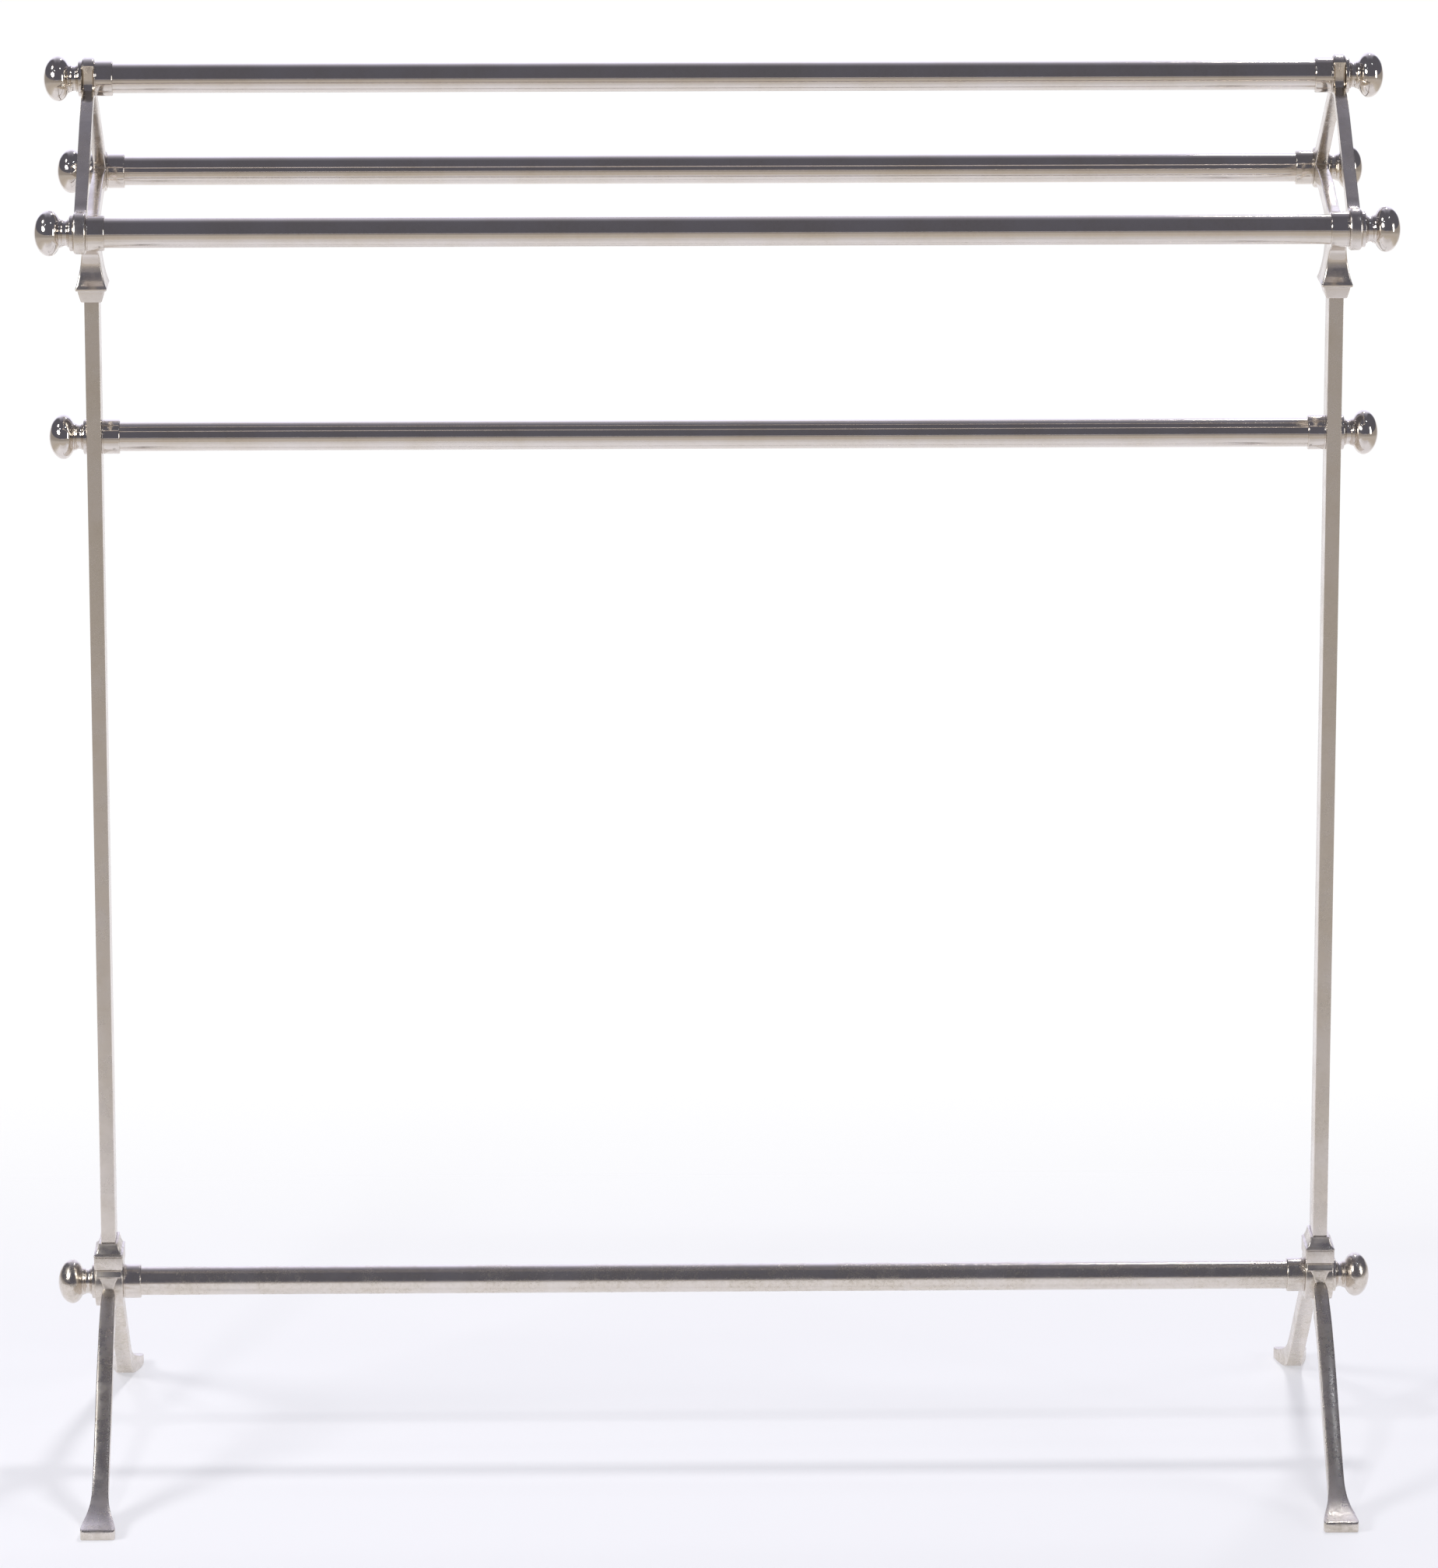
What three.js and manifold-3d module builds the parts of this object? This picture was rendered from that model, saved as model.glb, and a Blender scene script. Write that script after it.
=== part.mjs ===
// Free-standing towel stand in nickel-plated brass: five round rails between two flat-bar uprights,
// each upright with a cast triangular head and a cast, arched foot. Every rail end is held by a stud
// that runs through the casting (or the upright) into a screwed-on bun knob.
// Millimetres, +Z up, +X along the rails, -Y is the front. Origin: on the floor, under the middle.
import * as THREE from "three";
import { mergeVertices } from "three/addons/utils/BufferGeometryUtils.js";
import Module from "manifold-3d";

const wasm = await Module();
wasm.setup();

// ---- Driving dimensions ----
const END_X = 408; // middle plane of each upright, from the centre
const ROUND = 20; // sides of a round piece
const STUD_SIDES = 16;
const PIN_SIDES = 12;
const FIT = 0.12; // gap left round a piece that sits in another
const SEAT = 0.05; // gap left between two faces that bear on each other

const RAIL_RADIUS = 9.525; // 3/4 in tube
const RAIL_WALL = 1.22;
const STUD_RADIUS = 3.97; // 5/16 in
const STUD_HOLE = 4.25;
const KNOB_BORE = 4.06; // runs on the stud's thread
const KNOB_BORE_DEPTH = 15;
const STUD_IN_KNOB = 13;
const PLUG_LENGTH = 18;

const BAR_WIDTH = 9.525; // 3/8 x 1 in flat bar
const BAR_DEPTH = 25.4;
const PIN_RADIUS = 2;
const PIN_LENGTH = 13;

const FERRULE_RADIUS = 11.35;
const FERRULE_LENGTH = 11.8;
const FERRULE_END_WALL = 2.4;

const KNOB_LENGTH = 25.2;
const KNOB_RADIUS = 14.7;
const FLANGE_RADIUS = 11.5;
const NECK_RADIUS = 8.1;

const EYE_RADIUS = 13.5;
const PLATE_WIDTH = 8; // head casting, along the rails
const ARM_HALF_THICKNESS = 4.6;
const TOP_Z = 935; // top rail's axis
const UPPER_Z = 854; // the two upper rails' axes
const UPPER_Y = 127; // and their distance from the middle
const MIDDLE_Z = 697.5;
const BOTTOM_Z = 118;

const HUB_RADIUS = 16.6;
const HUB_WIDTH = 18.6;
const FOOT_REACH = 195.5; // toe, from the middle
const TOE_HEIGHT = 6.4;

const BAR_BOTTOM = BOTTOM_Z + 8.5; // the bar stands in the foot's socket, just over the hub's bore
const BAR_TOP = UPPER_Z - 38;
const FOOT_PIN_Z = BOTTOM_Z + 16;
const HEAD_PIN_Z = UPPER_Z - 55.5;
const PIN_OUTER_X = 9; // the pins go in from the outer side, to just under the surface
const SOCKET_CUT_DEPTH = 60; // longer than any socket, for the crossed outlines

// The rails: axis position, and half the width of what the rail's ends bear on.
const RAILS = [
  { name: "top_rail", y: 0, z: TOP_Z, halfSeat: PLATE_WIDTH / 2 },
  { name: "front_upper_rail", y: -UPPER_Y, z: UPPER_Z, halfSeat: PLATE_WIDTH / 2 },
  { name: "rear_upper_rail", y: UPPER_Y, z: UPPER_Z, halfSeat: PLATE_WIDTH / 2 },
  { name: "middle_rail", y: 0, z: MIDDLE_Z, halfSeat: BAR_WIDTH / 2 },
  { name: "bottom_rail", y: 0, z: BOTTOM_Z, halfSeat: HUB_WIDTH / 2 },
];

// ---- Materials ----
const metal = (color, roughness) =>
  new THREE.MeshStandardMaterial({ color, roughness, metalness: 1 });
const polishedNickel = metal(0xb9ada0, 0.15);
const satinNickel = metal(0x9a9087, 0.35);
const castNickel = metal(0xa89c8e, 0.25);
const rawBrass = metal(0xb08d4f, 0.35);

// ---- Solids ----
function solidOf(geometry) {
  geometry.deleteAttribute("normal");
  geometry.deleteAttribute("uv");
  const merged = mergeVertices(geometry, 1e-4);
  return new wasm.Manifold(
    new wasm.Mesh({
      numProp: 3,
      vertProperties: merged.attributes.position.array,
      triVerts: new Uint32Array(merged.index.array),
    }),
  );
}

function geometryOf(solid) {
  const mesh = solid.getMesh();
  return new THREE.BufferGeometry()
    .setAttribute("position", new THREE.BufferAttribute(mesh.vertProperties, 3))
    .setIndex(new THREE.BufferAttribute(mesh.triVerts, 1));
}

// A turned piece on the X axis, from a profile of [x, radius] points.
function turned(profile, sides) {
  const points = profile.map(([x, radius]) => new THREE.Vector2(radius, x));
  return new THREE.LatheGeometry(points, sides).rotateZ(-Math.PI / 2);
}

// A round rod along X, centred on (y, z).
function rodAlongX(radius, fromX, toX, y, z, sides) {
  const rod = turned([[fromX, 0], [fromX, radius], [toX, radius], [toX, 0]], sides);
  return solidOf(rod.translate(0, y, z));
}

function shapeOf(points) {
  return new THREE.Shape(points.map(([a, b]) => new THREE.Vector2(a, b)));
}

// The side view's outline (y, z), as a plate across the rails' direction.
function sidePlate(shape, width) {
  const plate = new THREE.ExtrudeGeometry(shape, { depth: width, bevelEnabled: false });
  const toSide = new THREE.Matrix4().makeBasis(
    new THREE.Vector3(0, 1, 0),
    new THREE.Vector3(0, 0, 1),
    new THREE.Vector3(1, 0, 0),
  );
  return solidOf(plate.translate(0, 0, -width / 2).applyMatrix4(toSide));
}

// The front view's outline (x, z), carried through from front to back.
function frontPlate(shape, depth) {
  const plate = new THREE.ExtrudeGeometry(shape, { depth, bevelEnabled: false });
  return solidOf(plate.translate(0, 0, -depth / 2).rotateX(Math.PI / 2));
}

// The plan's outline (x, y), carried up.
function planPlate(shape, height) {
  return solidOf(new THREE.ExtrudeGeometry(shape, { depth: height, bevelEnabled: false }));
}

function box(width, depth, fromZ, toZ) {
  const block = new THREE.BoxGeometry(width, depth, toZ - fromZ);
  return solidOf(block.translate(0, 0, (fromZ + toZ) / 2));
}

// [half-size, other coordinate] points, mirrored into a closed outline about the first axis' zero.
function mirrored(halfPoints) {
  const back = halfPoints.map(([a, b]) => [-a, b]).reverse();
  return shapeOf([...halfPoints, ...back.filter(([a]) => a !== 0)]);
}

// A smooth run through the given points, as [a, b] pairs.
function smooth(points, steps) {
  const curve = new THREE.SplineCurve(points.map(([a, b]) => new THREE.Vector2(a, b)));
  return curve.getPoints(steps).map((p) => [p.x, p.y]);
}

// Points on an arc about (a, b), from one angle to another, in degrees.
function arc(a, b, radius, fromDeg, toDeg, steps) {
  const at = (i) => THREE.MathUtils.degToRad(fromDeg + ((toDeg - fromDeg) * i) / steps);
  return Array.from({ length: steps + 1 }, (_, i) => [
    a + radius * Math.cos(at(i)),
    b + radius * Math.sin(at(i)),
  ]);
}

// ---- Rails and what holds their ends ----
function makeRail(halfLength) {
  const bore = RAIL_RADIUS - RAIL_WALL;
  return turned(
    [
      [-halfLength, bore],
      [-halfLength, RAIL_RADIUS],
      [halfLength, RAIL_RADIUS],
      [halfLength, bore],
      [-halfLength, bore],
    ],
    ROUND,
  );
}

// Collar on a rail's end: x = 0 is the face that bears on the casting.
function makeFerrule() {
  const bore = RAIL_RADIUS + FIT;
  const edge = 0.7;
  return turned(
    [
      [-FERRULE_LENGTH, bore],
      [-FERRULE_LENGTH, FERRULE_RADIUS - edge],
      [-FERRULE_LENGTH + edge, FERRULE_RADIUS],
      [0, FERRULE_RADIUS],
      [0, STUD_HOLE],
      [-FERRULE_END_WALL, STUD_HOLE],
      [-FERRULE_END_WALL, bore],
      [-FERRULE_LENGTH, bore],
    ],
    ROUND,
  );
}

// Plug soldered into the rail, turned in one with the stud: x = 0 is the ferrule's bearing face.
function makeEndStud(seatWidth) {
  const shoulder = -FERRULE_END_WALL - FIT;
  const tip = seatWidth + STUD_IN_KNOB;
  return turned(
    [
      [shoulder - PLUG_LENGTH, 0],
      [shoulder - PLUG_LENGTH, RAIL_RADIUS - RAIL_WALL - FIT],
      [shoulder, RAIL_RADIUS - RAIL_WALL - FIT],
      [shoulder, STUD_RADIUS],
      [tip, STUD_RADIUS],
      [tip, 0],
    ],
    STUD_SIDES,
  );
}

// Bun knob on a flanged, coved neck: x = 0 is the flange's bearing face.
function makeKnob() {
  const bunMiddle = 15.6;
  const bun = (fromDeg, toDeg, halfLength, steps) =>
    arc(0, 0, 1, fromDeg, toDeg, steps).map(([along, out]) => [
      bunMiddle + halfLength * along,
      KNOB_RADIUS * out,
    ]);
  return turned(
    [
      [0, KNOB_BORE],
      [0, FLANGE_RADIUS],
      [2.3, FLANGE_RADIUS],
      [3.6, NECK_RADIUS + 0.6],
      [5.4, NECK_RADIUS],
      [8.2, NECK_RADIUS + 0.7],
      ...bun(138, 90, 8.2, 2),
      ...bun(66, 18, KNOB_LENGTH - bunMiddle, 2),
      [KNOB_LENGTH, 0],
      [KNOB_BORE_DEPTH, 0],
      [KNOB_BORE_DEPTH, KNOB_BORE],
      [0, KNOB_BORE],
    ],
    ROUND,
  );
}

// ---- Uprights and their pins ----
function makeUpright() {
  return box(BAR_WIDTH, BAR_DEPTH, BAR_BOTTOM, BAR_TOP)
    .subtract(rodAlongX(STUD_HOLE, -BAR_WIDTH, BAR_WIDTH, 0, MIDDLE_Z, STUD_SIDES))
    .subtract(pinHole(FOOT_PIN_Z))
    .subtract(pinHole(HEAD_PIN_Z));
}

function pinHole(z) {
  const from = PIN_OUTER_X - PIN_LENGTH - FIT;
  return rodAlongX(PIN_RADIUS + FIT, from, 2 * PIN_OUTER_X, 0, z, PIN_SIDES);
}

function makePin() {
  const bevel = 0.4;
  return turned(
    [
      [PIN_OUTER_X - PIN_LENGTH, 0],
      [PIN_OUTER_X - PIN_LENGTH, PIN_RADIUS - bevel],
      [PIN_OUTER_X - PIN_LENGTH + bevel, PIN_RADIUS],
      [PIN_OUTER_X - bevel, PIN_RADIUS],
      [PIN_OUTER_X, PIN_RADIUS - bevel],
      [PIN_OUTER_X, 0],
    ],
    PIN_SIDES,
  );
}

// The pocket that the upright's end stands in.
function barPocket(fromZ, toZ) {
  return box(BAR_WIDTH + 2 * FIT, BAR_DEPTH + 2 * FIT, fromZ, toZ);
}

// ---- Head casting ----
// Its arms run from the top eye to the two upper eyes, and back under to the neck.
const ARM_SLOPE = (TOP_Z - UPPER_Z) / UPPER_Y;
const ARM_OFFSET = ARM_HALF_THICKNESS * Math.hypot(1, ARM_SLOPE);
const armLine = (y, offset) => TOP_Z - ARM_SLOPE * y + offset;
const fromUpper = (points) => points.map(([a, rise]) => [a, UPPER_Z + rise]);

function headOutline() {
  return mirrored([
    ...arc(0, TOP_Z, EYE_RADIUS, 90, 45, 3),
    ...[[8.5, 2.5], [8.2, -1], [8.3, -4], [9.2, -6.2], [11.5, -7.8], [16, -9.4], [23, -12.1], [42, -22.3]].map(
      ([y, rise]) => [y, TOP_Z + rise],
    ),
    [UPPER_Y - 28, armLine(UPPER_Y - 28, ARM_OFFSET)],
    [UPPER_Y - 19, armLine(UPPER_Y - 19, ARM_OFFSET) + 1],
    [UPPER_Y - 10, UPPER_Z + EYE_RADIUS + 0.4],
    ...arc(UPPER_Y, UPPER_Z, EYE_RADIUS, 90, -120, 9),
    ...fromUpper(smooth([[112, -6.6], [88, -8], [54, -14.5], [32, -21.5], [19, -31], [15, -41]], 9)),
    ...fromUpper([[15, -59], [0, -59]]),
  ]);
}

function headOpening() {
  return mirrored([
    [0, TOP_Z - EYE_RADIUS],
    [7, TOP_Z - EYE_RADIUS + 0.4],
    [13, armLine(13, -ARM_OFFSET) - 0.8],
    [106, armLine(106, -ARM_OFFSET)],
    ...fromUpper([[109, 4.8], [106, 3.9]]),
    ...fromUpper(smooth([[90, 3.5], [66, 0.6], [40, -5.6], [20, -10], [0, -11.6]], 6)),
  ]);
}

// Moulded socket: the same moulding seen from the front (half widths) and from the side.
const HEAD_SOCKET_FRONT = fromUpper([
  [0, -64.5], [6.8, -64.5], [8.4, -58.6], [8.8, -56.9], [10, -56.6], [10.3, -55.2], [9.6, -53.6],
  [8.6, -50], [7.4, -45], [6.4, -39.5], [5.6, -32.5], [4, -20], [0, -20],
]);
const HEAD_SOCKET_SIDE = fromUpper([
  [0, -64.5], [14.3, -64.5], [16.2, -58.6], [16.5, -57.4], [18.1, -56.8], [18.1, -53.6],
  [16.7, -50], [15.6, -45], [15.2, -39.5], [17.6, -32.5], [27, -24.5], [27, -20], [0, -20],
]);

function makeHeadCasting() {
  const eyes = [[0, TOP_Z], [-UPPER_Y, UPPER_Z], [UPPER_Y, UPPER_Z]];
  const socket = frontPlate(mirrored(HEAD_SOCKET_FRONT), SOCKET_CUT_DEPTH).intersect(
    sidePlate(mirrored(HEAD_SOCKET_SIDE), SOCKET_CUT_DEPTH),
  );
  let casting = sidePlate(headOutline(), PLATE_WIDTH)
    .subtract(sidePlate(headOpening(), 2 * PLATE_WIDTH))
    .add(socket)
    .subtract(barPocket(UPPER_Z - 70, BAR_TOP + FIT))
    .subtract(pinHole(HEAD_PIN_Z));
  for (const [y, z] of eyes) {
    casting = casting.subtract(rodAlongX(STUD_HOLE, -PLATE_WIDTH, PLATE_WIDTH, y, z, STUD_SIDES));
  }
  return casting;
}

// ---- Foot casting ----
// Two legs, arched from under the hub to a splayed toe.
function legsOutline() {
  const crown = BOTTOM_Z + 2;
  const over = [[14, crown], [34, 108], [60, 96], [84, 79], [108, 59.5], [132, 40], [152, 24.5]];
  const under = [[158, 0.4], [148, 9], [128, 27], [104, 47], [80, 67], [56, 85], [30, 94], [0, 96.5]];
  return mirrored([
    [0, crown],
    ...smooth(over, 10),
    [167, 15],
    [182, 9],
    [FOOT_REACH - 0.8, TOE_HEIGHT],
    [FOOT_REACH, TOE_HEIGHT - 0.7],
    [FOOT_REACH, 0],
    [162, 0],
    ...smooth(under, 11),
  ]);
}

// Seen from above: the leg is narrow at the hub, even along its length, and splayed at the toe.
function legsPlan() {
  const half = [
    [3.3, 0], [3.4, 18], [4.7, 28], [5.1, 60], [5.3, 90], [5.3, 148], [5.9, 162], [7.6, 172],
    [9.6, 181], [10.8, 188], [11.1, 192], [10.3, FOOT_REACH],
  ];
  const front = half.slice(1).map(([x, y]) => [x, -y]).reverse();
  const right = [...front, ...half];
  return shapeOf([...right, ...right.map(([x, y]) => [-x, y]).reverse()]);
}

const fromBottomRail = (points) => points.map(([a, rise]) => [a, BOTTOM_Z + rise]);
const FOOT_SOCKET_FRONT = fromBottomRail([
  [0, 30.4], [6.3, 30.4], [7.1, 26.4], [8.2, 23.7], [9.6, 22.8], [9.6, 12.8],
  [8.8, 12.2], [9, 8.6], [6.3, 7.6], [4.5, 4], [3.3, 0], [3.3, -12], [0, -12],
]);
const FOOT_SOCKET_SIDE = fromBottomRail([
  [0, 30.4], [14.2, 30.4], [15, 26.4], [16, 23.7], [17.5, 22.8], [17.5, 12.8],
  [16, 12.2], [18.8, 8.6], [18.9, 7.6], [19.4, 4], [19.9, 0], [20.6, -6], [20.6, -12], [0, -12],
]);

function makeFootCasting() {
  const socket = frontPlate(mirrored(FOOT_SOCKET_FRONT), SOCKET_CUT_DEPTH).intersect(
    sidePlate(mirrored(FOOT_SOCKET_SIDE), SOCKET_CUT_DEPTH),
  );
  const legs = sidePlate(legsOutline(), 3 * PLATE_WIDTH).intersect(planPlate(legsPlan(), 130));
  const hub = rodAlongX(HUB_RADIUS, -HUB_WIDTH / 2, HUB_WIDTH / 2, 0, BOTTOM_Z, 2 * ROUND);
  return legs
    .add(hub)
    .add(socket)
    .subtract(barPocket(BAR_BOTTOM - FIT, BOTTOM_Z + 40))
    .subtract(pinHole(FOOT_PIN_Z))
    .subtract(rodAlongX(STUD_HOLE, -HUB_WIDTH, HUB_WIDTH, 0, BOTTOM_Z, STUD_SIDES));
}

// ---- Assembly ----
const stand = new THREE.Group();

function addMesh(parent, name, geometry, material, x = 0, y = 0, z = 0) {
  const mesh = new THREE.Mesh(geometry, material);
  mesh.name = name;
  mesh.position.set(x, y, z);
  parent.add(mesh);
}

// Each end is built pointing along +X; the left end is the same end turned half round.
for (const side of ["left", "right"]) {
  const end = new THREE.Group();
  end.rotation.z = side === "left" ? Math.PI : 0;
  stand.add(end);
  addMesh(end, `${side}_upright`, geometryOf(makeUpright()), satinNickel, END_X);
  addMesh(end, `${side}_head_casting`, geometryOf(makeHeadCasting()), castNickel, END_X);
  addMesh(end, `${side}_foot_casting`, geometryOf(makeFootCasting()), castNickel, END_X);
  addMesh(end, `${side}_head_socket_pin`, makePin(), rawBrass, END_X, 0, HEAD_PIN_Z);
  addMesh(end, `${side}_foot_socket_pin`, makePin(), rawBrass, END_X, 0, FOOT_PIN_Z);

  for (const rail of RAILS) {
    const y = side === "left" ? -rail.y : rail.y; // the half turn swaps front and back
    const innerX = END_X - rail.halfSeat - SEAT;
    const outerX = END_X + rail.halfSeat + SEAT;
    const stud = makeEndStud(outerX - innerX);
    addMesh(end, `${rail.name}_${side}_ferrule`, makeFerrule(), polishedNickel, innerX, y, rail.z);
    addMesh(end, `${rail.name}_${side}_end_stud`, stud, rawBrass, innerX, y, rail.z);
    addMesh(end, `${rail.name}_${side}_knob`, makeKnob(), polishedNickel, outerX, y, rail.z);
  }
}

for (const rail of RAILS) {
  const halfLength = END_X - rail.halfSeat - SEAT - FERRULE_END_WALL - FIT;
  addMesh(stand, rail.name, makeRail(halfLength), polishedNickel, 0, rail.y, rail.z);
}

export default stand;
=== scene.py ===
import math

import bmesh
import bpy
from mathutils import Matrix, Vector
from mathutils.geometry import tessellate_polygon


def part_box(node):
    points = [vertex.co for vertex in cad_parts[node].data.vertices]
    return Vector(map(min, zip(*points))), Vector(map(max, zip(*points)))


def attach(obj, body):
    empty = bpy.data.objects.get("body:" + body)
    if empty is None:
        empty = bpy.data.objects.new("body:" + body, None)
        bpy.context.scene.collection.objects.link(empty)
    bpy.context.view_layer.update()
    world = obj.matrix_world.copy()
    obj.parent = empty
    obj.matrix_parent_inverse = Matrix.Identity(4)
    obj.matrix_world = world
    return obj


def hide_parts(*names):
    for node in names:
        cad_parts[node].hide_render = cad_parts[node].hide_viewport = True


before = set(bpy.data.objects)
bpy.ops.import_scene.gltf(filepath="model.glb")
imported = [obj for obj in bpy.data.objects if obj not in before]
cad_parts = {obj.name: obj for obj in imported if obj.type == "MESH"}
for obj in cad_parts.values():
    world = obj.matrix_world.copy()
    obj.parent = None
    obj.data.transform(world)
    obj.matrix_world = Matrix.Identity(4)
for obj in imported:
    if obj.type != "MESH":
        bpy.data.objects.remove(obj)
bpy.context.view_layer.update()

# A nickel-plated towel stand. Shapes are drawn in millimetres and scaled to the frame's metres.
MM = 0.001
TURNED_SIDES = 64
HUB_SIDES = 96
ROD_SIDES = 48
ENDS = ("left", "right")
RAILS = ("top_rail", "front_upper_rail", "rear_upper_rail", "middle_rail", "bottom_rail")

scene = bpy.context.scene


# ---- Places, read from the frame ----
def size_mm(node):
    """A CAD node's lowest and highest corners, in millimetres."""
    low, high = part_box(node)
    return low / MM, high / MM


def axis_of(rail):
    low, high = size_mm(rail)
    return (low.y + high.y) / 2, (low.z + high.z) / 2


UPPER_Y = axis_of("rear_upper_rail")[0]
UPPER_Z = axis_of("rear_upper_rail")[1]
TOP_Z = axis_of("top_rail")[1]
MIDDLE_Z = axis_of("middle_rail")[1]
BOTTOM_Z = axis_of("bottom_rail")[1]
FOOT_REACH = size_mm("right_foot_casting")[1].y
RAIL_RADIUS = (size_mm("top_rail")[1].z - size_mm("top_rail")[0].z) / 2
STUD_HOLE = 4.25
KNOB_BORE = 4.06
FIT = 0.12  # room round the bar in its sockets


def end_x(side):
    low, high = size_mm(f"{side}_upright")
    return (low.x + high.x) / 2


# ---- Outlines ----
def arc(a, b, radius, from_deg, to_deg, steps):
    angles = [math.radians(from_deg + (to_deg - from_deg) * i / steps) for i in range(steps + 1)]
    return [(a + radius * math.cos(t), b + radius * math.sin(t)) for t in angles]


def through(points, steps):
    """A smooth run through the points, with so many steps between each two."""
    run = []
    for i in range(len(points) - 1):
        p = [Vector(points[max(0, min(len(points) - 1, i + k))]) for k in (-1, 0, 1, 2)]
        for s in range(steps):
            t = s / steps
            run.append(
                0.5 * ((2 * p[1]) + (p[2] - p[0]) * t
                       + (2 * p[0] - 5 * p[1] + 4 * p[2] - p[3]) * t * t
                       + (3 * p[1] - p[0] - 3 * p[2] + p[3]) * t ** 3)
            )
    return [tuple(v) for v in run] + [tuple(points[-1])]


def softened(points, radii, steps=4):
    """The closed outline with each corner rounded to its radius, or kept where that is 0."""
    out = []
    for i, (point, radius) in enumerate(zip(points, radii)):
        corner = Vector(point)
        if radius == 0:
            out.append(tuple(corner))
            continue
        back = Vector(points[i - 1]) - corner
        on = Vector(points[(i + 1) % len(points)]) - corner
        cut = min(radius / math.tan(back.angle(on) / 2), 0.48 * back.length, 0.48 * on.length)
        start = corner + back.normalized() * cut
        end = corner + on.normalized() * cut
        for k in range(steps + 1):
            t = k / steps
            out.append(tuple(start * (1 - t) ** 2 + corner * 2 * t * (1 - t) + end * t * t))
    return out


def value_at(points, at):
    """Straight-line interpolation in a list of (place, value)."""
    for (a, u), (b, v) in zip(points, points[1:]):
        if at <= b:
            return u + (v - u) * max(0.0, at - a) / (b - a)
    return points[-1][1]


def mirrored(half):
    """Half an outline, from the first axis' zero round to it again, with its mirror image."""
    return half + [(-a, b) for a, b in reversed(half) if abs(a) > 1e-6]


# ---- Solids, as bmeshes in millimetres ----
def skin(bm, rings, closed=False):
    """Faces between each ring of vertices and the next; a ring of one vertex is a point."""
    pairs = list(zip(rings, rings[1:])) + ([(rings[-1], rings[0])] if closed else [])
    for a, b in pairs:
        count = max(len(a), len(b))
        for k in range(count):
            corners = [a[k % len(a)], a[(k + 1) % len(a)], b[(k + 1) % len(b)], b[k % len(b)]]
            corners = list(dict.fromkeys(corners))
            if len(corners) > 2:
                bm.faces.new(corners)


def turned(profile, sides=TURNED_SIDES):
    """A solid turned about X, from a closed profile of (along, radius)."""
    bm = bmesh.new()
    rings = []
    for along, radius in profile:
        if radius < 1e-6:
            rings.append([bm.verts.new((along, 0, 0))])
            continue
        angles = [math.tau * k / sides for k in range(sides)]
        circle_at = [(along, radius * math.cos(t), radius * math.sin(t)) for t in angles]
        rings.append([bm.verts.new(place) for place in circle_at])
    skin(bm, rings, closed=True)
    return bm


def inset(loop, distances):
    """A loop of (y, z) with each point moved towards the loop's left by its distance."""
    moved = []
    for i, point in enumerate(loop):
        here = Vector(point)
        before = (here - Vector(loop[i - 1])).normalized()
        after = (Vector(loop[(i + 1) % len(loop)]) - here).normalized()
        normal = Vector((-(before + after).y, (before + after).x)).normalized()
        stretch = max(0.5, math.sqrt(max(0.0, (1 + before.dot(after)) / 2)))
        moved.append(tuple(here + normal * distances[i] / stretch))
    return moved


def counter_clockwise(loop):
    turn = sum(a[0] * b[1] - b[0] * a[1] for a, b in zip(loop, loop[1:] + loop[:1]))
    return loop if turn > 0 else loop[::-1]


def plate(outline, holes, half_width, edge_at, steps=4):
    """A flat piece across X, from (y, z) outlines; edge_at gives its edge's radius at a point."""
    bm = bmesh.new()
    loops = [counter_clockwise(outline)] + [counter_clockwise(h)[::-1] for h in holes]
    angles = [math.radians(90 * k / steps) for k in range(steps + 1)]
    levels = [(-1, t) for t in reversed(angles)] + [(1, t) for t in angles]
    caps = ([], [])
    for loop in loops:
        edges = [edge_at(y, z) for y, z in loop]
        rings = []
        for side, t in levels:
            cut = inset(loop, [edge * (1 - math.cos(t)) for edge in edges])
            across = [side * (half_width - edge * (1 - math.sin(t))) for edge in edges]
            rings.append([bm.verts.new((x, y, z)) for x, (y, z) in zip(across, cut)])
        skin(bm, rings)
        caps[0].append(rings[0])
        caps[1].append(rings[-1])
    for cap in caps:
        verts = [v for ring in cap for v in ring]
        flat = [[Vector((v.co.y, v.co.z, 0)) for v in ring] for ring in cap]
        for triangle in tessellate_polygon(flat):
            bm.faces.new([verts[i] for i in triangle])
    return bm


def rounded_rectangle(half_a, half_b, radius, steps=3):
    """Points round a rectangle's edge, from its corner arcs."""
    radius = min(radius, 0.9 * half_a, 0.9 * half_b)
    corners = ((1, 1, 0), (-1, 1, 90), (-1, -1, 180), (1, -1, 270))
    points = []
    for a, b, start in corners:
        centre = a * (half_a - radius), b * (half_b - radius)
        points += arc(*centre, radius, start, start + 90, steps)
    return points


def loft(sections):
    """A solid through rings of points, closed at both ends with a fan."""
    bm = bmesh.new()
    rings = [[bm.verts.new(p) for p in ring] for ring in sections]
    skin(bm, rings)
    for ring in (rings[0], rings[-1]):
        centre = bm.verts.new(sum((v.co for v in ring), Vector()) / len(ring))
        skin(bm, [ring, [centre]])
    return bm


def post(profile):
    """The head's socket along Z, from (half width, z) points: a rounded rectangle at each."""
    corner = 1.1
    rings = []
    for half, z in profile:
        ring = rounded_rectangle(half, half + value_at(HEAD_DEPTH, z - UPPER_Z), corner)
        rings.append([(x, y, z) for x, y in ring])
    return loft(rings)


def block(half_x, half_y, from_z, to_z):
    corners = ((-half_x, -half_y), (half_x, -half_y), (half_x, half_y), (-half_x, half_y))
    return loft([[(x, y, z) for x, y in corners] for z in (from_z, to_z)])


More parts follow.
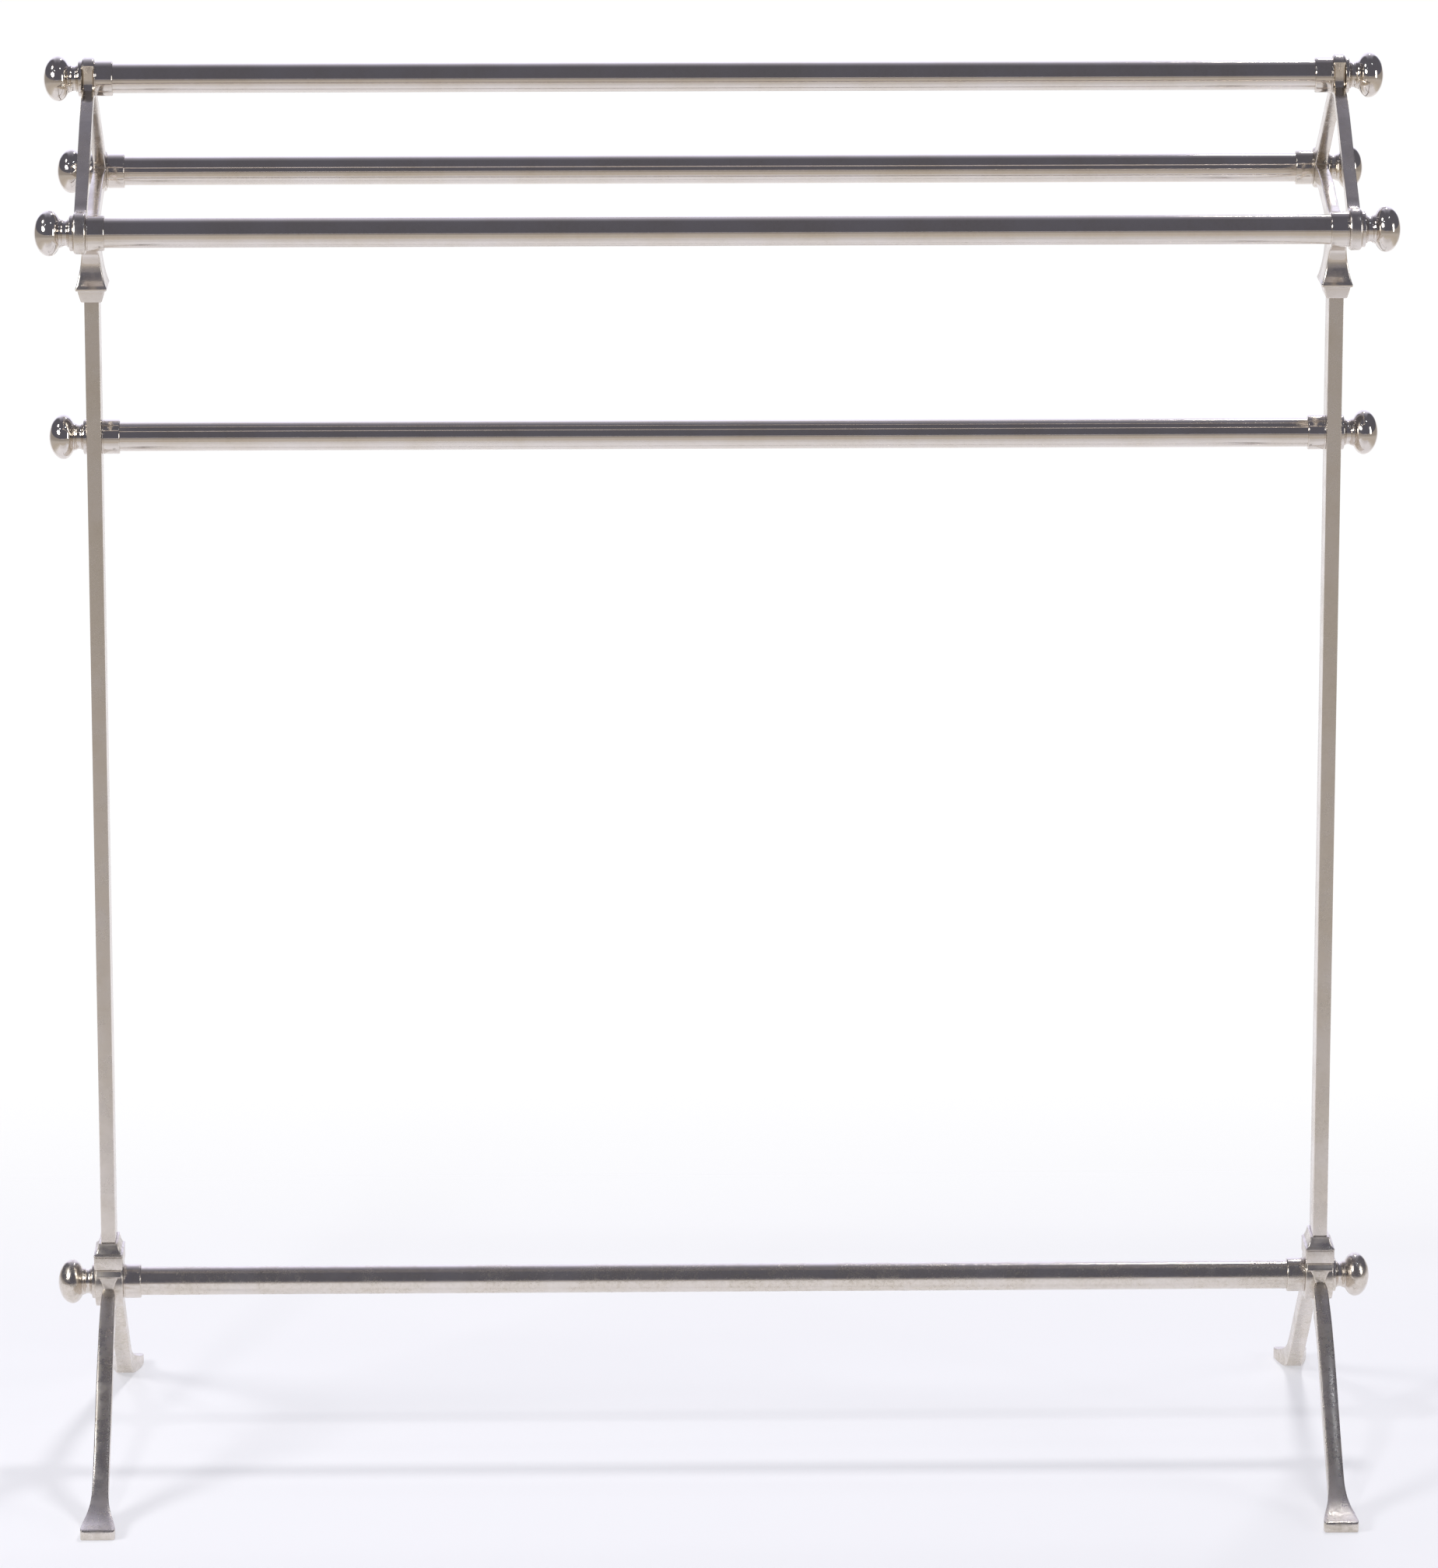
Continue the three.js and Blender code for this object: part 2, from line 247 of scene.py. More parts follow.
def rod(radius, half_length, y, z):
    profile = [(-half_length, 0), (-half_length, radius), (half_length, radius), (half_length, 0)]
    bm = turned(profile, ROD_SIDES)
    bm.transform(Matrix.Translation((0, y, z)))
    return bm


def temporary(bm):
    bmesh.ops.recalc_face_normals(bm, faces=bm.faces)
    data = bpy.data.meshes.new("temporary")
    bm.to_mesh(data)
    bm.free()
    obj = bpy.data.objects.new("temporary", data)
    scene.collection.objects.link(obj)
    return obj


def combined(base, join=(), cut=()):
    """base with the other solids joined on, then cut away."""
    body = temporary(base)
    tools = [(temporary(bm), "UNION") for bm in join]
    tools += [(temporary(bm), "DIFFERENCE") for bm in cut]
    for tool, operation in tools:
        modifier = body.modifiers.new(operation, "BOOLEAN")
        modifier.operation = operation
        modifier.solver = "EXACT"
        modifier.object = tool
        tool.hide_render = True
    bpy.context.view_layer.update()
    result = bmesh.new()
    result.from_object(body, bpy.context.evaluated_depsgraph_get())
    for obj in [body] + [tool for tool, _ in tools]:
        bpy.data.objects.remove(obj)
    bmesh.ops.remove_doubles(result, verts=result.verts, dist=0.002)
    bmesh.ops.dissolve_degenerate(result, edges=result.edges, dist=0.001)
    return result


# ---- Materials ----
NICKEL = (0.76, 0.71, 0.66, 1)
NICKEL_WARM = (0.72, 0.66, 0.585, 1)
TARNISH = (0.47, 0.42, 0.32, 1)
BRASS = (0.68, 0.50, 0.24, 1)
BRASS_DULL = (0.40, 0.27, 0.12, 1)


class Graph:
    """Short names for the nodes that the materials use."""

    def __init__(self, tree):
        self.tree = tree
        self.tree.nodes.clear()

    def node(self, kind, inputs=None, **settings):
        made = self.tree.nodes.new(kind)
        for name, value in settings.items():
            setattr(made, name, value)
        for name, value in (inputs or {}).items():
            if isinstance(value, bpy.types.NodeSocket):
                self.tree.links.new(value, made.inputs[name])
            else:
                made.inputs[name].default_value = value
        return made

    def noise(self, vector, scale, detail=3.0, roughness=0.55):
        inputs = {"Vector": vector, "Scale": scale, "Detail": detail, "Roughness": roughness}
        return self.node("ShaderNodeTexNoise", inputs).outputs["Fac"]

    def stretched(self, vector, scale):
        return self.node("ShaderNodeMapping", {"Vector": vector, "Scale": scale}).outputs["Vector"]

    def spread(self, value, low, high, to_low=0.0, to_high=1.0):
        """value from low..high to to_low..to_high, smoothly and clamped."""
        inputs = {"Value": value, "From Min": low, "From Max": high,
                  "To Min": to_low, "To Max": to_high}
        made = self.node("ShaderNodeMapRange", inputs, interpolation_type="SMOOTHSTEP")
        return made.outputs["Result"]

    def math(self, operation, a, b=0.0):
        made = self.node("ShaderNodeMath", operation=operation)
        for socket, value in zip(made.inputs, (a, b)):
            if isinstance(value, bpy.types.NodeSocket):
                self.tree.links.new(value, socket)
            else:
                socket.default_value = value
        return made.outputs["Value"]

    def mix(self, factor, a, b):
        """A mix of two colours; the node keeps its colour sockets at 6 and 7, and gives at 2."""
        made = self.node("ShaderNodeMix", data_type="RGBA")
        for index, value in ((0, factor), (6, a), (7, b)):
            if isinstance(value, bpy.types.NodeSocket):
                self.tree.links.new(value, made.inputs[index])
            else:
                made.inputs[index].default_value = value
        return made.outputs[2]

    def bump(self, height, strength, distance, normal=None):
        inputs = {"Height": height, "Strength": strength, "Distance": distance}
        if normal is not None:
            inputs["Normal"] = normal
        return self.node("ShaderNodeBump", inputs).outputs["Normal"]


def plated(name, roughness, haze, tarnish, pitting, waviness, grain=0.0):
    """Nickel plate: hazed and tarnished in patches, pitted, and a little wavy under its polish."""
    material = bpy.data.materials.new(name)
    material.use_nodes = True
    g = Graph(material.node_tree)
    place = g.node("ShaderNodeTexCoord").outputs["Object"]
    clouds = g.noise(place, 24, 4, 0.6)
    mottle = g.noise(place, 330, 5, 0.68)
    specks = g.noise(place, 900, 3, 0.65)
    patches = g.spread(clouds, 0.40, 0.62)
    blotches = g.spread(mottle, 0.38, 0.74)
    worn = g.math("MULTIPLY", blotches, g.math("ADD", g.math("MULTIPLY", patches, 0.65), 0.35))
    pits = g.math("MULTIPLY", g.spread(specks, 0.54, 0.72),
                  g.math("ADD", g.math("MULTIPLY", patches, 0.7), 0.3))
    stain = g.math("MINIMUM", g.math("MULTIPLY", g.math("ADD", worn, pits), tarnish), 1.0)
    plate_colour = g.mix(g.spread(clouds, 0.3, 0.7), NICKEL, NICKEL_WARM)
    colour = g.mix(stain, plate_colour, TARNISH)
    rub = g.noise(place, 60, 5, 0.7)
    rough = g.math("ADD", g.spread(rub, 0.35, 0.75, roughness * 0.8, roughness * 1.5),
                   g.math("MULTIPLY", g.math("MAXIMUM", worn, pits), haze))
    normal = g.bump(g.noise(place, 34, 2, 0.4), waviness, 0.0006)
    normal = g.bump(g.math("MULTIPLY", pits, -1.0), pitting, 0.00006, normal)
    if grain:
        along = g.noise(g.stretched(place, (2600, 2600, 22)), 1.0, 3, 0.6)
        normal = g.bump(along, grain, 0.00005, normal)
    shader = g.node("ShaderNodeBsdfPrincipled", {
        "Base Color": colour, "Roughness": rough, "Normal": normal, "Metallic": 1.0})
    g.node("ShaderNodeOutputMaterial", {"Surface": shader.outputs["BSDF"]})
    return material


def raw_brass(name):
    """Turned brass, dulled in patches, with fine tool marks."""
    material = bpy.data.materials.new(name)
    material.use_nodes = True
    g = Graph(material.node_tree)
    place = g.node("ShaderNodeTexCoord").outputs["Object"]
    colour = g.mix(g.spread(g.noise(place, 120, 5, 0.65), 0.4, 0.65), BRASS, BRASS_DULL)
    marks = g.noise(g.stretched(place, (4000, 200, 200)), 1.0, 2)
    shader = g.node("ShaderNodeBsdfPrincipled", {
        "Base Color": colour, "Metallic": 1.0,
        "Roughness": g.spread(g.noise(place, 300), 0.3, 0.7, 0.25, 0.45),
        "Normal": g.bump(marks, 0.3, 0.00005)})
    g.node("ShaderNodeOutputMaterial", {"Surface": shader.outputs["BSDF"]})
    return material


POLISHED = plated("polished nickel", 0.075, 0.05, 0.12, 0.1, 0.05)
POLISHED_LOW = plated("polished nickel, worn", 0.16, 0.20, 0.42, 0.35, 0.05)
CAST = plated("cast nickel", 0.21, 0.05, 0.22, 0.08, 0.05)
CAST_LOW = plated("cast nickel, worn", 0.27, 0.14, 0.50, 0.12, 0.05)
SATIN = plated("satin nickel", 0.22, 0.05, 0.12, 0.08, 0.03, grain=0.06)
RAW = raw_brass("raw brass")


# ---- Pieces ----
SHARP_DEG = 38


def add_piece(name, bm, material, body, node):
    """A finished piece: its mesh in metres, its finish, its body and the CAD node it stands for."""
    bm.transform(Matrix.Scale(MM, 4))
    bmesh.ops.recalc_face_normals(bm, faces=bm.faces)
    if bm.calc_volume(signed=True) < 0:  # the line above can leave a mesh inside out
        bmesh.ops.reverse_faces(bm, faces=bm.faces)
    data = bpy.data.meshes.new(name)
    bm.to_mesh(data)
    bm.free()
    data.polygons.foreach_set("use_smooth", [True] * len(data.polygons))
    data.set_sharp_from_angle(angle=math.radians(SHARP_DEG))
    data.materials.append(material)
    obj = bpy.data.objects.new(name, data)
    scene.collection.objects.link(obj)
    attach(obj, body)
    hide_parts(node)


def on_end(bm, side, x, y, z):
    """Turns a piece that points along +X to face outwards at its end of the stand."""
    turn = Matrix.Rotation(math.pi, 4, "Z") if side == "left" else Matrix.Identity(4)
    bm.transform(Matrix.Translation((x, y, z)) @ turn)
    return bm


def knob(length, radius):
    """Bun knob on a flanged, coved neck, bored for its stud; x = 0 is the bearing face."""
    flange = 11.5
    bun_middle = 15.6
    bun_back = 8.2
    bore_depth = 15
    seat = softened([(0, KNOB_BORE), (0, flange), (2.3, flange), (2.75, 9.7)], [0.2, 0.35, 0.5, 0])
    cove = through([(2.7, 9.1), (3.1, 8.7), (3.6, 8.85), (4.0, 8.35), (5.3, 8.0), (6.8, 8.3),
                    (7.5, 8.85), (7.9, 8.7), (8.6, 9.2)], 3)
    bun_front = length - bun_middle
    back = [(bun_middle + bun_back * a, radius * b) for a, b in arc(0, 0, 1, 141, 90, 9)]
    front = [(bun_middle + bun_front * a, radius * b) for a, b in arc(0, 0, 1, 84, 4, 14)]
    tip = [(length, 0), (bore_depth, 0), (bore_depth, KNOB_BORE)]
    return turned(seat + cove + back + front + tip)


def ferrule(length, radius):
    """Collar: x = 0 bears on the casting, and the rail goes in at -length."""
    bore = RAIL_RADIUS + 0.04
    end_wall = 2.4
    bevel = 0.5
    groove = 0.22
    outline = [(-length, bore), (-length, radius - bevel), (-length + bevel, radius - 0.02),
               (-1.3, radius), (-1.1, radius - groove), (-0.8, radius - groove), (-0.6, radius),
               (0, radius), (0, STUD_HOLE), (-end_wall, STUD_HOLE), (-end_wall, bore)]
    return turned(softened(outline, [0.2, 0.45, 0.5, 0.1, 0.1, 0.1, 0.1, 0.35, 0, 0, 0], 3))


def rail_tube(half_length):
    wall = 1.22
    profile = [(-half_length, RAIL_RADIUS - wall), (-half_length, RAIL_RADIUS),
               (half_length, RAIL_RADIUS), (half_length, RAIL_RADIUS - wall)]
    return turned(profile)


def upright(low, high):
    """Flat bar with its arrises eased, drilled for the middle rail's stud."""
    arris = 0.45
    half_x, half_y = (high.x - low.x) / 2, (high.y - low.y) / 2
    ring = rounded_rectangle(half_x, half_y, arris)
    bar = loft([[(x, y, z) for x, y in ring] for z in (low.z, high.z)])
    return combined(bar, cut=[rod(STUD_HOLE, 2 * half_x, 0, MIDDLE_Z)])


# Head: two straight arms from the top eye to the upper rails' eyes, and curved arms to the neck.
EYE_RADIUS = 13.5
EYE_EDGE = 1.7
ARM_EDGE = 0.5
HOLE_EDGE = 0.3
ARM_HALF = 4.6
ARM_SLOPE = (TOP_Z - UPPER_Z) / UPPER_Y
ARM_OFFSET = ARM_HALF * math.hypot(1, ARM_SLOPE)
HEAD_HALF_WIDTH = 4.0
OVERRUN = 5  # how far the bar's pocket is cut past the socket's mouth


def arm_line(y, offset):
    """The height of a line along the arm, so far above its middle."""
    return TOP_Z - ARM_SLOPE * y + offset


def from_upper(points):
    """Points given by their rise over the upper rails' axes."""
    return [(a, UPPER_Z + rise) for a, rise in points]


def head_outline():
    crown = arc(0, TOP_Z, EYE_RADIUS, 90, 45, 8)
    brow = [(9.5, 9.2), (8.8, 6.0), (8.2, 2.5), (7.9, -1.0), (8.1, -4.0), (9.1, -6.2), (11.5, -7.8),
            (16, -9.4), (23, -12.1), (32, -16.8), (42, -22.3)]
    brow = through([(y, TOP_Z + rise) for y, rise in brow], 4)
    cheek = [(-44, -0.7), (-34, -0.3), (-26, 0.0), (-19, 0.4)]
    cheek = [(UPPER_Y + a, arm_line(UPPER_Y + a, ARM_OFFSET) + lift) for a, lift in cheek]
    cheek += [(UPPER_Y - 13.5, UPPER_Z + 14.6), (UPPER_Y - 9.5, UPPER_Z + 12.8),
              (UPPER_Y - 6, UPPER_Z + 12.4), (UPPER_Y - 2.2, UPPER_Z + EYE_RADIUS - 0.2)]
    jaw = [(118.5, -10.4), (112, -7.4), (102, -7.2), (88, -8), (54, -14.5), (32, -21.5),
           (19, -31), (15, -41)]
    half = crown + brow + through(cheek, 5) + arc(UPPER_Y, UPPER_Z, EYE_RADIUS, 86, -122, 26)
    half += from_upper(through(jaw, 5)[1:] + [(15, -59), (0, -59)])
    return mirrored(half)


def head_edge(y, z):
    """The head's edges are full round its eyes and crisp along its arms."""
    eyes = ((0, TOP_Z), (UPPER_Y, UPPER_Z))
    reach = min(math.dist((abs(y), z), eye) for eye in eyes)
    if reach < STUD_HOLE + 1:
        return HOLE_EDGE
    return value_at([(0, EYE_EDGE), (EYE_RADIUS, EYE_EDGE), (EYE_RADIUS + 6, ARM_EDGE)], reach)


def head_opening():
    crown = [(0, TOP_Z - EYE_RADIUS), (7, TOP_Z - EYE_RADIUS + 0.4),
             (13, arm_line(13, -ARM_OFFSET) - 0.8), (20, arm_line(20, -ARM_OFFSET)),
             (30, arm_line(30, -ARM_OFFSET))]
    corner = [(103, arm_line(103, -ARM_OFFSET)), (107.6, UPPER_Z + 6.2), (108.6, UPPER_Z + 5),
              (106.5, UPPER_Z + 4)]
    floor = from_upper([(100, 3.7), (90, 3.5), (66, 0.6), (40, -5.6), (20, -10), (0, -11.6)])
    return mirrored(through(crown, 4) + through(corner, 4) + through(floor, 4))


def circle(y, z, radius):
    return arc(y, z, radius, 0, 360, 32)[:-1]


# How much deeper than wide the head's socket is, by its rise over the upper rails' axes.
HEAD_DEPTH = [(-70, 8), (-50, 8), (-45, 8.2), (-39.5, 8.8), (-32.5, 12), (-24.5, 23), (-20, 23)]


def bar_half():
    """Half the uprights' width and depth."""
    low, high = size_mm("right_upright")
    return (high.x - low.x) / 2, (high.y - low.y) / 2


def head_casting(bottom):
    eyes = [(0, TOP_Z), (-UPPER_Y, UPPER_Z), (UPPER_Y, UPPER_Z)]
    holes = [head_opening()] + [circle(y, z, STUD_HOLE) for y, z in eyes]
    body = plate(head_outline(), holes, HEAD_HALF_WIDTH, head_edge)
    lip = softened(
        [(0, -64.5), (6.8, -64.5), (8.4, -58.6), (8.8, -56.9), (10.0, -56.6), (10.3, -55.2),
         (9.6, -53.6)],
        [0, 0.9, 1.5, 0.2, 0.45, 0.6, 0])[1:]
    flare = through([(9.6, -53.6), (8.6, -50), (7.5, -45), (6.5, -39), (5.6, -32), (4.8, -25),
                     (4.2, -20)], 4)
    socket = post(from_upper(lip + flare[1:]))
    half_x, half_y = bar_half()
    bar_top = size_mm("right_upright")[1].z
    pocket = block(half_x + FIT, half_y + FIT, bottom - OVERRUN, bar_top + FIT)
    return combined(body, join=[socket], cut=[pocket])


# Foot: a moulded socket over a round hub, and two arched legs to splayed toes.
# The legs' upper and under sides, half widths and crowns are by the distance from the middle.
LEG_OVER = [(0, 120), (14, 119.8), (20, 118.4), (28, 115.2), (38, 110.6), (50, 104), (64, 94.6),
            (84, 79.2), (108, 59.5), (132, 40), (152, 24.5), (167, 15), (182, 9), (195.5, 6.4)]
LEG_UNDER = [(0, 96.5), (30, 94), (56, 85), (80, 67), (104, 47), (128, 28), (148, 12), (156, 5.8),
             (161, 3.0), (164, 1.9), (169, 0.7), (174, 0.1), (177, 0)]
LEG_HALF = [(0, 3.2), (18, 3.3), (22, 4.1), (28, 4.7), (40, 4.85), (60, 5.1), (90, 5.3), (148, 5.3),
            (162, 5.9), (172, 7.6), (181, 9.8), (188, 11.1), (192, 11.4), (195.5, 10.9)]
LEG_CROWN = [(0, 0.2), (30, 0.4), (60, 0.6), (95, 1.1), (135, 1.1), (155, 0.8), (175, 0.5),
             (190, 0.2), (200, 0.15)]
LEG_EASE = [(0, 0.9), (150, 0.8), (190, 0.5), (200, 0.5)]
LEG_OVER_FINE = through(LEG_OVER, 8)
LEG_UNDER_FINE = through(LEG_UNDER, 8)
LEG_HALF_FINE = through(LEG_HALF, 8)
HEEL = 177
LEG_STEP = 2.5


def leg_ring(y, cut=0.0):
    """The leg's section across Y: slightly crowned on top, its corners eased."""
    reach = abs(y)
    top = value_at(LEG_OVER_FINE, reach) - cut
    bottom = max(0.0, value_at(LEG_UNDER_FINE, reach)) if reach < HEEL else 0.0
    half = value_at(LEG_HALF_FINE, reach) - cut
    ease = value_at(LEG_EASE, reach)
    sag = value_at(LEG_CROWN, reach)
    ring = rounded_rectangle(half, (top - bottom) / 2, min(ease, 0.3 * (top - bottom)))
    crowned = []
    for (x, z), (next_x, next_z) in zip(ring, ring[1:] + ring[:1]):
        crowned.append((x, z))
        if z > 0 and next_z > 0 and abs(next_x - x) > half:
            across, down = next_x - x, next_z - z
            crowned += [(x + across * k / 8, z + down * k / 8) for k in range(1, 8)]
    crowned = [(x, z - sag * (x / half) ** 2 if z > 0 else z) for x, z in crowned]
    return [(x, y, (top + bottom) / 2 + z) for x, z in crowned]


def legs():
    toe_round = [(FOOT_REACH - 0.6, 0.0), (FOOT_REACH - 0.2, 0.2), (FOOT_REACH, 0.6)]
    stations = [(LEG_STEP * k, 0.0) for k in range(int(FOOT_REACH / LEG_STEP))] + toe_round
    front = [leg_ring(-y, cut) for y, cut in reversed(stations[1:])]
    rear = [leg_ring(y, cut) for y, cut in stations]
    return loft(front + rear)


# The foot's moulding: half width, half depth, rise over the hub's axis and corner radius.
FOOT_MOULD = [(3.2, 21.0, -8, 0), (3.3, 19.9, 0.0, 3), (4.5, 19.4, 4.0, 3), (6.3, 18.9, 7.6, 0.4),
              (8.9, 19.0, 8.0, 0.5), (9.0, 18.4, 9.4, 1.4), (8.6, 16.0, 12.3, 0.3),
              (9.55, 17.5, 12.9, 0.5), (9.55, 17.5, 21.0, 0.2), (9.2, 17.1, 21.3, 0.1),
              (9.75, 17.6, 21.7, 0.2), (9.7, 17.5, 22.6, 0.4), (8.2, 16.0, 23.7, 1.2),
              (7.1, 15.0, 26.4, 2), (6.5, 14.4, 29.0, 1), (6.3, 14.2, 30.4, 0)]


def foot_moulding():
    corner = 0.8
    radii = [radius for *_, radius in FOOT_MOULD]
    widths = softened([(half, rise) for half, _, rise, _ in FOOT_MOULD], radii)
    depths = softened([(depth, rise) for _, depth, rise, _ in FOOT_MOULD], radii)
    rings = []
    for (half, rise), (depth, _) in zip(widths, depths):
        ring = rounded_rectangle(half, depth, corner)
        rings.append([(x, y, BOTTOM_Z + rise) for x, y in ring])
    return loft(rings)


def foot_casting():
    hub_radius = 16.6
    knob_gap = 0.05
    hub_half = (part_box("bottom_rail_right_knob")[0].x / MM - end_x("right")) - knob_gap
    edge = 0.9
    profile = [(-hub_half, 0), (-hub_half, hub_radius), (hub_half, hub_radius), (hub_half, 0)]
    hub = turned(softened(profile, [0, edge, edge, 0], 3), HUB_SIDES)
    hub.transform(Matrix.Translation((0, 0, BOTTOM_Z)))
    half_x, half_y = bar_half()
    bar_foot = size_mm("right_upright")[0].z
    pocket = block(half_x + FIT, half_y + FIT, bar_foot - FIT, BOTTOM_Z + 40)
    bore = rod(STUD_HOLE, 2 * hub_half, 0, BOTTOM_Z)
    return combined(legs(), join=[hub, foot_moulding()], cut=[pocket, bore])


def finish_of(rail):
    return POLISHED_LOW if rail == "bottom_rail" else POLISHED


def make_rails():
    for rail in RAILS:
        low, high = size_mm(rail)
        bm = rail_tube((high.x - low.x) / 2)
        bm.transform(Matrix.Translation((0, *axis_of(rail))))
        add_piece(f"{rail}_tube", bm, finish_of(rail), "stand", rail)


def make_end_fittings(side):
    for rail in RAILS:
        y, z = axis_of(rail)
        material = finish_of(rail)
        node = f"{rail}_{side}_knob"
        low, high = size_mm(node)
        seat = low.x if side == "right" else high.x
        bm = on_end(knob(high.x - low.x, (high.z - low.z) / 2), side, seat, y, z)
        add_piece(f"{rail}_{side}_bun_knob", bm, material,
                  f"{node}_body", node)
        node = f"{rail}_{side}_ferrule"
        low, high = size_mm(node)
        seat = high.x if side == "right" else low.x
        bm = on_end(ferrule(high.x - low.x, (high.z - low.z) / 2), side, seat, y, z)
        add_piece(f"{rail}_{side}_collar", bm, material,
                  "stand", node)


def make_end(side):
    x = end_x(side)
    bar = upright(*size_mm(f"{side}_upright"))
    head = head_casting(size_mm(f"{side}_head_casting")[0].z)
    foot = foot_casting()
    pieces = (("bar", bar, SATIN, "satin_nickel", "upright"),
              ("head", head, CAST, "cast_nickel", "head_casting"),
              ("foot", foot, CAST_LOW, "cast_nickel", "foot_casting"))
    for name, bm, material, slot, node in pieces:
        bm = on_end(bm, side, x, 0, 0)
        add_piece(f"{side}_{name}", bm, material, "stand", f"{side}_{node}")


def finish_hidden_pieces():
    """The studs and socket pins keep their CAD shapes."""
    for node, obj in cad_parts.items():
        if node.endswith(("_end_stud", "_socket_pin")):
            obj.data.materials.clear()
            obj.data.materials.append(RAW)


make_rails()
for side in ENDS:
    make_end_fittings(side)
    make_end(side)
finish_hidden_pieces()


# ---- Floor, light and camera ----
def make_floor():
    """A pale, faintly lavender sheet that fades out at its edges."""
    half_x, half_y = 1.5, 1.3
    drop = 0.0002  # keeps the sheet just clear of the toes
    bm = bmesh.new()
    corners = ((-half_x, -half_y), (half_x, -half_y), (half_x, half_y), (-half_x, half_y))
    bm.faces.new([bm.verts.new((x, y, -drop)) for x, y in corners])
    data = bpy.data.meshes.new("floor")
    bm.to_mesh(data)
    bm.free()
    floor = bpy.data.objects.new("floor", data)
    scene.collection.objects.link(floor)
    material = bpy.data.materials.new("pale floor")
    material.use_nodes = True
    g = Graph(material.node_tree)
    place = g.node("ShaderNodeTexCoord").outputs["Object"]
    split = g.node("ShaderNodeSeparateXYZ", {"Vector": place})
    x, y = split.outputs["X"], split.outputs["Y"]
    far = g.math("MAXIMUM", g.spread(y, 0.15, 1.1), g.spread(y, -0.75, -1.25))
    far = g.math("MAXIMUM", far, g.spread(g.math("ABSOLUTE", x), 0.95, 1.45))
    paper = g.node("ShaderNodeBsdfDiffuse", {"Color": (0.42, 0.415, 0.43, 1)})
    tone = g.mix(g.spread(y, -0.32, -0.75), (0.94, 0.94, 0.99, 1), (0.60, 0.57, 0.55, 1))
    glow = g.node("ShaderNodeEmission", {"Color": tone, "Strength": 0.485})
    near = g.node("ShaderNodeAddShader")
    g.tree.links.new(paper.outputs["BSDF"], near.inputs[0])
    g.tree.links.new(glow.outputs["Emission"], near.inputs[1])
    clear = g.node("ShaderNodeBsdfTransparent")
    both = g.node("ShaderNodeMixShader", {"Fac": far})
    g.tree.links.new(near.outputs["Shader"], both.inputs[1])
    g.tree.links.new(clear.outputs["BSDF"], both.inputs[2])
    g.node("ShaderNodeOutputMaterial", {"Surface": both.outputs["Shader"]})
    data.materials.append(material)


# The room round the stand, from the horizon in front (0), overhead (0.5), to the one behind (1).
ROOM_ARCH = [(0.0, 0.125), (0.50, 0.128), (0.55, 0.15), (0.65, 0.29), (0.73, 0.56), (0.79, 0.78),
             (0.84, 1.15)]
ROOM_SIDE = (0.128, 0.128, 0.128, 1)
ROOM_TINT = (0.98, 0.98, 1.22, 1)
# The studio's floor, by how steeply it is looked down on.
FLOOR_TONES = [(0.08, (0.36, 0.33, 0.31)), (0.18, (0.39, 0.36, 0.335)),
               (0.21, (0.46, 0.43, 0.405)), (0.235, (0.54, 0.505, 0.475)),
               (0.27, (0.57, 0.53, 0.50)), (0.45, (0.57, 0.52, 0.475)),
               (0.70, (0.69, 0.65, 0.61)), (0.95, (0.76, 0.73, 0.73))]


def ramp(g, value, stops):
    """A colour ramp; a stop's colour is three numbers, or one for a grey."""
    made = g.node("ShaderNodeValToRGB", {"Fac": value})
    points = made.color_ramp.elements
    while len(points) < len(stops):
        points.new(0.5)
    for point, (place, colour) in zip(points, stops):
        point.position = place
        point.color = (*colour, 1) if isinstance(colour, tuple) else (colour, colour, colour, 1)
    return made.outputs["Color"]


def make_world():
    """A white background; round it, a dim room, a lit backdrop behind and the studio's floor."""
    world = bpy.data.worlds.new("studio")
    scene.world = world
    world.use_nodes = True
    g = Graph(world.node_tree)
    way = g.node("ShaderNodeTexCoord").outputs["Generated"]
    split = g.node("ShaderNodeSeparateXYZ", {"Vector": way})
    across, back, up = (split.outputs[axis] for axis in "XYZ")
    turn = g.math("DIVIDE", g.math("ARCTAN2", up, back), -math.pi)
    arch = ramp(g, g.math("ADD", turn, 1.0), ROOM_ARCH)
    beside = g.spread(g.math("ABSOLUTE", across), 0.28, 0.50)
    room = g.mix(beside, arch, ROOM_SIDE)
    tinted = g.node("ShaderNodeMix", {"Factor": 1.0}, data_type="RGBA", blend_type="MULTIPLY")
    g.tree.links.new(room, tinted.inputs[6])
    tinted.inputs[7].default_value = ROOM_TINT
    behind = g.math("MULTIPLY", g.spread(back, 0.1, 0.4),
                    g.spread(g.math("ABSOLUTE", across), 0.62, 0.42))
    floor_tone = ramp(g, g.math("MULTIPLY", up, -1.0), FLOOR_TONES)
    floor_tone = g.mix(behind, floor_tone, (1.0, 0.99, 1.03, 1))
    colour = g.mix(g.spread(up, 0.004, -0.02), tinted.outputs[2], floor_tone)
    sky = g.node("ShaderNodeBackground", {"Color": colour, "Strength": 1.0})
    plain = g.node("ShaderNodeBackground", {"Color": (1, 1, 1, 1), "Strength": 1.02})
    seen = g.node("ShaderNodeLightPath").outputs["Is Camera Ray"]
    both = g.node("ShaderNodeMixShader", {"Fac": seen})
    g.tree.links.new(sky.outputs["Background"], both.inputs[1])
    g.tree.links.new(plain.outputs["Background"], both.inputs[2])
    g.node("ShaderNodeOutputWorld", {"Surface": both.outputs["Shader"]})


